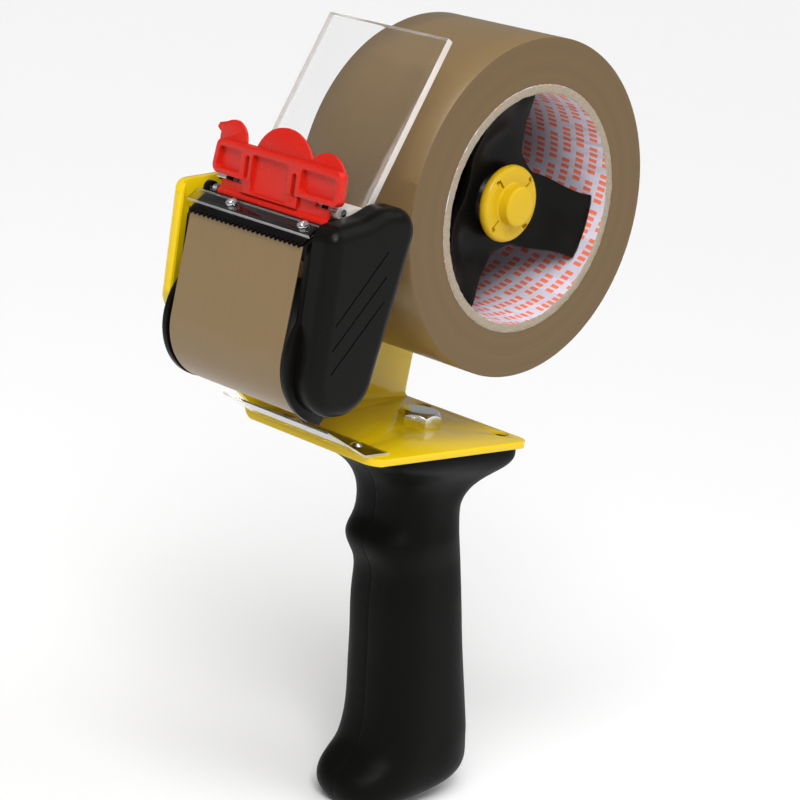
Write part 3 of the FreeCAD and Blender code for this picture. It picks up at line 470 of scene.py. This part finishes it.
def select_where(piece, test, mode="FACE"):
    """In edit mode, selects the faces or edges whose centre and normal pass the test."""
    bpy.ops.object.mode_set(mode="OBJECT")
    mesh = piece.data
    for group in (mesh.vertices, mesh.edges, mesh.polygons):
        for item in group:
            item.select = False
    if mode == "FACE":
        for face in mesh.polygons:
            face.select = test(face.center, face.normal)
    else:
        for edge in mesh.edges:
            ends = [mesh.vertices[v].co for v in edge.vertices]
            edge.select = test(*ends)
    bpy.ops.object.mode_set(mode="EDIT")
    bpy.ops.mesh.select_mode(type=mode)


def add_modifier(piece, kind, **settings):
    select_only(piece)
    modifier = piece.modifiers.new(kind.lower(), kind)
    for key, value in settings.items():
        setattr(modifier, key, value)
    bpy.ops.object.modifier_apply(modifier=modifier.name)


def smooth(piece, angle=SMOOTH_ANGLE):
    select_only(piece)
    bpy.ops.object.shade_smooth_by_angle(angle=angle)


def place_in_mesh(piece):
    select_only(piece)
    bpy.ops.object.transform_apply(location=True, rotation=True, scale=True)


def settle(piece, body, slot, material, *nodes):
    """Gives a finished piece its material and its body, and hides the CAD nodes it stands for; its slot argument is
    not used.
    """
    object_mode()
    piece.data.materials.clear()
    piece.data.materials.append(MATERIALS[material])
    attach(piece, body)
    if nodes:
        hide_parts(*nodes)
    return piece


def merged_copy(node, name):
    """A copy of a CAD node with its loose triangles joined and its flat faces made whole."""
    object_mode()
    bpy.ops.object.select_all(action="DESELECT")
    source = frame["nodes"][node]
    piece = source.copy()
    piece.data = source.data.copy()
    piece.name = piece.data.name = name
    for key in list(piece.keys()):
        del piece[key]
    piece.parent = None
    bpy.context.scene.collection.objects.link(piece)
    select_only(piece)
    if piece.data.has_custom_normals:
        bpy.ops.mesh.customdata_custom_splitnormals_clear()
    edit(piece, "VERT")
    bpy.ops.mesh.select_all(action="SELECT")
    bpy.ops.mesh.remove_doubles(threshold=0.002 * MM)
    bpy.ops.mesh.dissolve_limited(angle_limit=math.radians(0.6), delimit={"NORMAL"})
    object_mode()
    return piece


def rounded_copy(node, name, radius, body, slot, material, segments=2, angle=38):
    """The CAD node with its sharp edges rounded, as moulding, plating or paint leaves them."""
    piece = merged_copy(node, name)
    add_modifier(
        piece, "BEVEL", width=radius, segments=segments, limit_method="ANGLE",
        angle_limit=math.radians(angle), use_clamp_overlap=True)
    smooth(piece)
    return settle(piece, body, slot, material, node)


def turned(name, profile, segments, centre=ROLL_CENTRE, ends="CLOSED"):
    """Turned piece about an axis along Y: a circle drawn out through (radius, y) pairs in millimetres.

    ends "CLOSED" joins the last circle to the first; "FILLED" caps both ends."""
    x, z = centre[0] * MM, centre[1] * MM
    first_radius, first_y = profile[0]
    object_mode()
    bpy.ops.object.select_all(action="DESELECT")
    bpy.ops.mesh.primitive_circle_add(
        vertices=segments, radius=first_radius * MM, fill_type="NGON" if ends == "FILLED" else "NOTHING",
        location=(x, first_y * MM, z), rotation=(math.pi / 2, 0, 0))
    piece = bpy.context.object
    piece.name = piece.data.name = name
    place_in_mesh(piece)
    edit(piece, "EDGE")
    bpy.ops.mesh.select_all(action="SELECT")
    radius, y = first_radius, first_y
    path = profile[1:] + (profile[:1] if ends == "CLOSED" else [])
    for next_radius, next_y in path:
        bpy.ops.mesh.extrude_edges_move(
            TRANSFORM_OT_translate={"value": (0, (next_y - y) * MM, 0)})
        scale = next_radius / radius
        bpy.ops.transform.resize(value=(scale, 1, scale), center_override=(x, next_y * MM, z))
        radius, y = next_radius, next_y
    if ends == "FILLED":
        bpy.ops.mesh.edge_face_add()
    bpy.ops.mesh.select_all(action="SELECT")
    bpy.ops.mesh.remove_doubles(threshold=0.001 * MM)
    bpy.ops.mesh.normals_make_consistent(inside=False)
    object_mode()
    return piece


def cut_with(piece, tool):
    """Takes the tool's shape out of the piece and removes the tool."""
    add_modifier(piece, "BOOLEAN", operation="DIFFERENCE", object=tool, solver="EXACT")
    bpy.data.objects.remove(tool)


def joined(pieces):
    object_mode()
    bpy.ops.object.select_all(action="DESELECT")
    for piece in pieces:
        piece.select_set(True)
    bpy.context.view_layer.objects.active = pieces[0]
    bpy.ops.object.join()
    return bpy.context.object


def cylinder(radius, length, location, rotation=(0, 0, 0), vertices=32):
    object_mode()
    bpy.ops.object.select_all(action="DESELECT")
    bpy.ops.mesh.primitive_cylinder_add(
        vertices=vertices, radius=radius * MM, depth=length * MM,
        location=Vector(location) * MM, rotation=rotation)
    piece = bpy.context.object
    place_in_mesh(piece)
    return piece


def box(size, location, rotation=(0, 0, 0)):
    object_mode()
    bpy.ops.object.select_all(action="DESELECT")
    bpy.ops.mesh.primitive_cube_add(size=1, location=Vector(location) * MM, rotation=rotation)
    piece = bpy.context.object
    piece.scale = Vector(size) * MM
    place_in_mesh(piece)
    return piece


# ---------------------------------------------------------------- pieces
class TAPEGUN_OT_grip(bpy.types.Operator):
    """Pistol grip in two screwed halves, with a fine seam where they meet"""
    bl_idname = "tapegun.grip"
    bl_label = "Grip"

    def execute(self, context):
        for node, name in (("handle_near_half", "grip_near_half"), ("handle_far_half", "grip_far_half")):
            rounded_copy(node, name, sizes().seam, "gun_frame", "black_abs", "black_abs", angle=55)
        return {"FINISHED"}


class TAPEGUN_OT_frame(bpy.types.Operator):
    """Bent steel frame with softened, painted edges"""
    bl_idname = "tapegun.frame"
    bl_label = "Sheet frame"

    def execute(self, context):
        rounded_copy("frame", "sheet_frame", sizes().sheet_edge, "gun_frame", "yellow_paint", "yellow_paint")
        return {"FINISHED"}


# Radius, place along Y and half width down one arm of the hub, in millimetres.
ARM_STATIONS = (
    (20.5, -12.4, 12.6), (25.0, -14.8, 11.2), (29.5, -17.6, 10.5), (33.5, -19.5, 10.5), (36.0, -20.1, 11.0),
    (37.4, -19.3, 11.1), (37.8, -16.8, 11.1), (37.8, -2.0, 10.4), (37.8, 17.5, 9.6),
)
DISC_RADIUS = 17.0


def make_hub_sector():
    """A third of the hub: part of the centre ring and one arm, lying along +X."""
    object_mode()
    bpy.ops.object.select_all(action="DESELECT")
    bpy.ops.mesh.primitive_circle_add(
        vertices=24, radius=8.5 * MM, fill_type="NOTHING", location=(0, -11.2 * MM, 0),
        rotation=(math.pi / 2, 0, 0))
    sector = bpy.context.object
    place_in_mesh(sector)
    edit(sector, "EDGE")
    limit = math.cos(math.radians(60))
    select_where(
        sector, lambda a, b: ((a + b) / 2).normalized().x < 0 or min(a.x, b.x) < limit * 8.4 * MM, "EDGE")
    bpy.ops.mesh.delete(type="EDGE")
    bpy.ops.mesh.select_all(action="SELECT")
    bpy.ops.mesh.extrude_edges_move(TRANSFORM_OT_translate={"value": (0, 0, 0)})
    bpy.ops.transform.resize(value=(12 / 8.5, 1, 12 / 8.5), center_override=(0, -11.2 * MM, 0))
    bpy.ops.mesh.extrude_edges_move(TRANSFORM_OT_translate={"value": (0, 0.1 * MM, 0)})
    bpy.ops.transform.resize(
        value=(DISC_RADIUS / 12, 1, DISC_RADIUS / 12), center_override=(0, -11.2 * MM, 0))
    reach = DISC_RADIUS * math.sin(math.radians(50)) * MM
    select_where(
        sector,
        lambda a, b: min((a * 1000).xz.length, (b * 1000).xz.length) > 15 and max(abs(a.z), abs(b.z)) < reach,
        "EDGE")
    mean_x, height, half = DISC_RADIUS * 0.88, -11.1, DISC_RADIUS * math.sin(math.radians(45))
    for radius, next_height, next_half in ARM_STATIONS:
        bpy.ops.mesh.extrude_edges_move(
            TRANSFORM_OT_translate={"value": ((radius - mean_x) * MM, (next_height - height) * MM, 0)})
        flatten = 0.68 if mean_x < 29 else 1.0
        bpy.ops.transform.resize(
            value=(flatten, 1, next_half / half), center_override=(radius * MM, next_height * MM, 0))
        mean_x, height, half = radius, next_height, next_half
    # the face is dished between its raised edges
    select_where(
        sector, lambda a, b: max(abs(a.z), abs(b.z)) < 6.5 * MM and 18 * MM < min(a.x, b.x)
        and max(a.x, b.x) < 36.5 * MM and max(a.y, b.y) < -11.5 * MM, "EDGE")
    bpy.ops.transform.translate(value=(0, 1.3 * MM, 0))
    object_mode()
    return sector


class TAPEGUN_OT_hub(bpy.types.Operator):
    """Three-armed hub that the roll is pushed on to, moulded in one with its boss"""
    bl_idname = "tapegun.hub"
    bl_label = "Core hub"

    def execute(self, context):
        sector = make_hub_sector()
        arms = []
        for angle in ARM_ANGLES:
            arm = sector.copy()
            arm.data = sector.data.copy()
            context.scene.collection.objects.link(arm)
            arm.rotation_euler = (0, -math.radians(angle), 0)
            place_in_mesh(arm)
            arms.append(arm)
        bpy.data.objects.remove(sector)
        hub = joined(arms)
        hub.name = hub.data.name = "three_arm_hub"
        edit(hub, "VERT")
        bpy.ops.mesh.select_all(action="SELECT")
        bpy.ops.mesh.remove_doubles(threshold=0.2 * MM)
        bpy.ops.mesh.normals_make_consistent(inside=False)
        object_mode()
        if hub.data.polygons[0].normal.y > 0:
            edit(hub)
            bpy.ops.mesh.select_all(action="SELECT")
            bpy.ops.mesh.flip_normals()
            object_mode()
        add_modifier(hub, "SOLIDIFY", thickness=2.6 * MM, offset=-1.0, use_even_offset=True)
        add_modifier(
            hub, "BEVEL", width=0.7 * MM, segments=2, limit_method="ANGLE", angle_limit=math.radians(60))
        add_modifier(hub, "SUBSURF", levels=2, render_levels=2)
        boss = turned("boss", [
            (10.5, -10.6), (13.1, -10.6), (13.5, -10.2), (13.5, 25.6), (13.1, 25.9), (7.0, 25.9), (7.0, -4.0),
            (10.5, -4.0)], 72)
        back = turned("back", [(12.5, 15.0), (36.8, 15.0), (37.2, 15.4), (37.2, 17.6), (36.8, 18.0), (12.5, 18.0)], 96)
        hub = joined([hub, boss, back])
        hub.name = hub.data.name = "three_arm_hub"
        smooth(hub, math.radians(40))
        settle(hub, "roll", "black_gloss", "black_gloss", "core_hub")
        return {"FINISHED"}


class TAPEGUN_OT_knob(bpy.types.Operator):
    """Brake knob with a rounded flange, a raised button and four hooked slots"""
    bl_idname = "tapegun.knob"
    bl_label = "Brake knob"

    def execute(self, context):
        knob = turned("brake_hand_knob", [
            (4.05, -19.2), (4.05, -12.0), (9.5, -12.0), (9.7, -13.6), (12.1, -13.7), (12.6, -14.1),
            (12.85, -14.8), (12.8, -15.6), (12.5, -16.3), (12.0, -16.8), (11.2, -17.05), (9.8, -17.05),
            (8.4, -16.95), (7.5, -17.05), (7.0, -17.45), (6.8, -18.1), (6.75, -20.0), (6.6, -20.5),
            (6.2, -20.85), (5.6, -21.0), (2.5, -21.0)], 96, ends="FILLED")
        slots = []
        for turn in (45, 135, 225, 315):
            a = math.radians(turn)
            spot = Vector((9.4 * math.cos(a), -16.9, 9.4 * math.sin(a)))
            slots.append(box((3.8, 2.6, 0.8), spot, (0, -a, 0)))
            hook = Vector((11.0 * math.cos(a + 0.09), -16.9, 11.0 * math.sin(a + 0.09)))
            slots.append(cylinder(0.75, 2.4, hook, (math.pi / 2, 0, 0), 20))
        for slot in slots:
            cut_with(knob, slot)
        smooth(knob)
        settle(knob, "knob", "yellow_abs", "yellow_abs", "brake_knob")
        return {"FINISHED"}


class TAPEGUN_OT_roll(bpy.types.Operator):
    """Roll of tape whose wound edges are slightly uneven, on its board core"""
    bl_idname = "tapegun.roll"
    bl_label = "Tape roll and core"

    def execute(self, context):
        draw = random.Random(7)
        rings = [41.0 + 0.5 * k for k in range(1, 30)]
        near = [(r, -25.0 + draw.uniform(0.0, 0.07)) for r in rings]
        far = [(r, 25.0 - draw.uniform(0.0, 0.07)) for r in reversed(rings)]
        profile = [(41.0, -24.95)] + near + [(55.85, -24.93), (56.0, -24.8), (56.0, -12.0), (56.0, 0.0),
                   (56.0, 12.0), (56.0, 24.8), (55.85, 24.93)] + far + [(41.0, 24.95)]
        roll = turned("wound_tape", profile, 160)
        smooth(roll, math.radians(50))
        settle(roll, "roll", "tape_film", "tape_film", "tape_roll")
        core = turned("board_core", [
            (38.15, -25.0), (38.9, -25.15), (39.8, -25.05), (40.7, -25.12), (40.95, -24.9), (40.95, 24.9),
            (40.7, 25.1), (39.6, 25.02), (38.4, 25.1), (38.0, 24.8), (38.0, 0.0), (38.0, -24.85)], 160)
        edit(core, "VERT")
        select_where(core, lambda a, b: max(a.y, b.y) < -24.7 * MM and min(a.xz.length, b.xz.length) < 40.5 * MM, "EDGE")
        bpy.ops.transform.vertex_random(offset=0.16 * MM, uniform=0.6, normal=0.0, seed=3)
        object_mode()
        smooth(core, math.radians(50))
        settle(core, "roll", "core_board", "core_board", "tape_core")
        return {"FINISHED"}


class TAPEGUN_OT_flaps(bpy.types.Operator):
    """Red wiper flap and clear guard with moulded and sawn edges"""
    bl_idname = "tapegun.flaps"
    bl_label = "Wiper flap and guard"

    def execute(self, context):
        edge = sizes().moulded_edge
        rounded_copy("wiper_flap", "wiper_moulding", edge, "wiper", "red_plastic", "red_plastic")
        rounded_copy("guard_flap", "guard_sheet", sizes().acrylic_edge, "guard", "clear_plastic", "clear_plastic")
        return {"FINISHED"}


class TAPEGUN_OT_head(bpy.types.Operator):
    """Cheeks, blade carrier and clamp of the applicator head"""
    bl_idname = "tapegun.head"
    bl_label = "Applicator head"

    def execute(self, context):
        edge = sizes().moulded_edge
        for node, name in (("near_cheek", "cheek_near"), ("far_cheek", "cheek_far")):
            rounded_copy(node, name, edge, "gun_frame", "black_gloss", "black_gloss")
        rounded_copy("blade_carrier", "blade_mount", edge, "gun_frame", "black_abs", "black_gloss")
        rounded_copy("blade_clamp", "blade_clamp_strip", 0.2 * MM, "gun_frame", "clear_plastic", "clear_clamp")
        return {"FINISHED"}


class TAPEGUN_OT_hardware(bpy.types.Operator):
    """Finishes for the bolts, screws, pins, springs and other pieces that keep their CAD shape"""
    bl_idname = "tapegun.hardware"
    bl_label = "Hardware finishes"

    def execute(self, context):
        slots = {part["node"]: part["material_slot"] for part in frame["record"]["subparts"]}
        # the near cover takes the satin black with the painted groove highlight
        special = {"nonreturn_leaf": "clear_leaf", "near_cover": "cover_groove_highlight"}
        for name, node in frame["nodes"].items():
            node.data.materials.clear()
            node.data.materials.append(MATERIALS[special.get(name, slots[name])])
        for name in ("handle_bolt", "blade_screws"):
            body = "gun_frame"
            rounded_copy(name, name.replace("handle", "grip") + "_plated", 0.15 * MM, body, "zinc_steel",
                         "zinc_steel")
        return {"FINISHED"}


# ---------------------------------------------------------------- stage
CAMERA_AZIMUTH, CAMERA_ELEVATION, CAMERA_ROLL = -48.22, 13.45, 8.58
CAMERA_LENS = 107.9
ORIGIN_SEEN = (0.0243, -0.0680, 0.7906)     # the roll's centre: right of, below and ahead of the camera


def camera_matrix():
    """Camera matrix from its turn about the object and where it sees the object's origin."""
    a, e, r = (math.radians(v) for v in (CAMERA_AZIMUTH, CAMERA_ELEVATION, CAMERA_ROLL))
    back = Vector((math.sin(a) * math.cos(e), -math.cos(a) * math.cos(e), math.sin(e)))
    right = Vector((math.cos(a), math.sin(a), 0))
    up = back.cross(right)
    rolled_right = right * math.cos(r) + up * math.sin(r)
    rolled_up = up * math.cos(r) - right * math.sin(r)
    turn = Matrix((rolled_right, rolled_up, back)).transposed()
    ahead = Vector((ORIGIN_SEEN[0], -ORIGIN_SEEN[1], -ORIGIN_SEEN[2]))
    return Matrix.Translation(-(turn @ ahead)) @ turn.to_4x4()


def add_area(name, location, target, size, power, colour="#FFFFFF"):
    light = bpy.data.lights.new(name, "AREA")
    light.energy, light.size = power, size
    light.color = linear(colour)[:3]
    lamp = bpy.data.objects.new(name, light)
    bpy.context.scene.collection.objects.link(lamp)
    lamp.location = location
    lamp.rotation_euler = (Vector(location) - Vector(target)).to_track_quat("Z", "Y").to_euler()


def add_sun(name, towards, strength, spread):
    """Distant soft light; towards points from the object to it and spread is its width in degrees."""
    sun = bpy.data.lights.new(name, "SUN")
    sun.energy, sun.angle = strength, math.radians(spread)
    lamp = bpy.data.objects.new(name, sun)
    bpy.context.scene.collection.objects.link(lamp)
    lamp.rotation_euler = Vector(towards).to_track_quat("Z", "Y").to_euler()


class TAPEGUN_OT_stage(bpy.types.Operator):
    """Pale floor, soft studio lights and the camera"""
    bl_idname = "tapegun.stage"
    bl_label = "Stage"

    def execute(self, context):
        scene = context.scene
        scene.view_settings.view_transform = "Standard"
        data = bpy.data.cameras.new("camera")
        camera = bpy.data.objects.new("camera", data)
        scene.collection.objects.link(camera)
        scene.camera = camera
        data.lens = CAMERA_LENS
        data.clip_start, data.clip_end = 0.01, 60
        camera.matrix_world = camera_matrix()

        floor_z = CAD_BOX[0][2]
        object_mode()
        bpy.ops.object.select_all(action="DESELECT")
        bpy.ops.mesh.primitive_circle_add(vertices=96, radius=25, fill_type="NGON", location=(0, 0, floor_z))
        floor = context.object
        floor.name = floor.data.name = "studio_floor"
        place_in_mesh(floor)
        paint = new_material("matt_white_floor_paint")
        shader = add_node(
            paint, "ShaderNodeBsdfPrincipled",
            {"Base Color": linear("#F4F4F4"), "Roughness": 0.9, "Specular IOR Level": 0.1})
        floor.data.materials.append(close(paint, shader))

        world = bpy.data.worlds.new("studio")
        scene.world = world
        world.use_nodes = True
        tree = world.node_tree
        room = tree.nodes["Background"]
        room.inputs["Color"].default_value = linear("#FFFFFF")
        room.inputs["Strength"].default_value = 0.3
        paper = tree.nodes.new("ShaderNodeBackground")
        paper.inputs["Color"].default_value = linear("#FFFFFF")
        seen = tree.nodes.new("ShaderNodeLightPath")
        mixed = tree.nodes.new("ShaderNodeMixShader")
        tree.links.new(seen.outputs["Is Camera Ray"], mixed.inputs[0])
        tree.links.new(room.outputs[0], mixed.inputs[1])
        tree.links.new(paper.outputs[0], mixed.inputs[2])
        tree.links.new(mixed.outputs[0], tree.nodes["World Output"].inputs["Surface"])

        add_sun("key_sun", (-0.75, -0.55, 1.25), 2.0, 38)
        add_sun("fill_sun", (0.55, -0.6, 1.0), 0.75, 50)
        add_sun("front_sun", (0.3, -1.0, 0.1), 0.55, 60)
        add_area("key_window", (-0.62, -0.62, 0.55), (-0.02, 0, -0.05), 0.3, 4.0)
        return {"FINISHED"}


class TAPEGUN_OT_materials(bpy.types.Operator):
    """Finishes of all the pieces"""
    bl_idname = "tapegun.materials"
    bl_label = "Materials"

    def execute(self, context):
        make_materials()
        return {"FINISHED"}


class TAPEGUN_PT_panel(bpy.types.Panel):
    """Lists the steps that build the dispenser"""
    bl_idname = "TAPEGUN_PT_panel"
    bl_label = "Tape gun"
    bl_space_type = "VIEW_3D"
    bl_region_type = "UI"
    bl_category = "Tape gun"

    def draw(self, context):
        for group in (context.scene.tape_gun_finishes, context.scene.tape_gun_sizes):
            for name in group.__annotations__:
                self.layout.prop(group, name)
        for step in STEPS:
            self.layout.operator(step.bl_idname)


STEPS = (
    TAPEGUN_OT_materials, TAPEGUN_OT_hardware, TAPEGUN_OT_frame, TAPEGUN_OT_grip, TAPEGUN_OT_hub,
    TAPEGUN_OT_knob, TAPEGUN_OT_roll, TAPEGUN_OT_flaps, TAPEGUN_OT_head, TAPEGUN_OT_stage,
)
CLASSES = (TapeGunFinishes, TapeGunSizes, *STEPS, TAPEGUN_PT_panel)


def register():
    for cls in CLASSES:
        bpy.utils.register_class(cls)
    bpy.types.Scene.tape_gun_finishes = bpy.props.PointerProperty(type=TapeGunFinishes)
    bpy.types.Scene.tape_gun_sizes = bpy.props.PointerProperty(type=TapeGunSizes)


def unregister():
    del bpy.types.Scene.tape_gun_sizes
    del bpy.types.Scene.tape_gun_finishes
    for cls in reversed(CLASSES):
        bpy.utils.unregister_class(cls)


def main():
    register()
    bpy.ops.tapegun.materials()
    bpy.ops.tapegun.hardware()
    bpy.ops.tapegun.frame()
    bpy.ops.tapegun.grip()
    bpy.ops.tapegun.hub()
    bpy.ops.tapegun.knob()
    bpy.ops.tapegun.roll()
    bpy.ops.tapegun.flaps()
    bpy.ops.tapegun.head()
    bpy.ops.tapegun.stage()


if __name__ == "__main__":
    main()
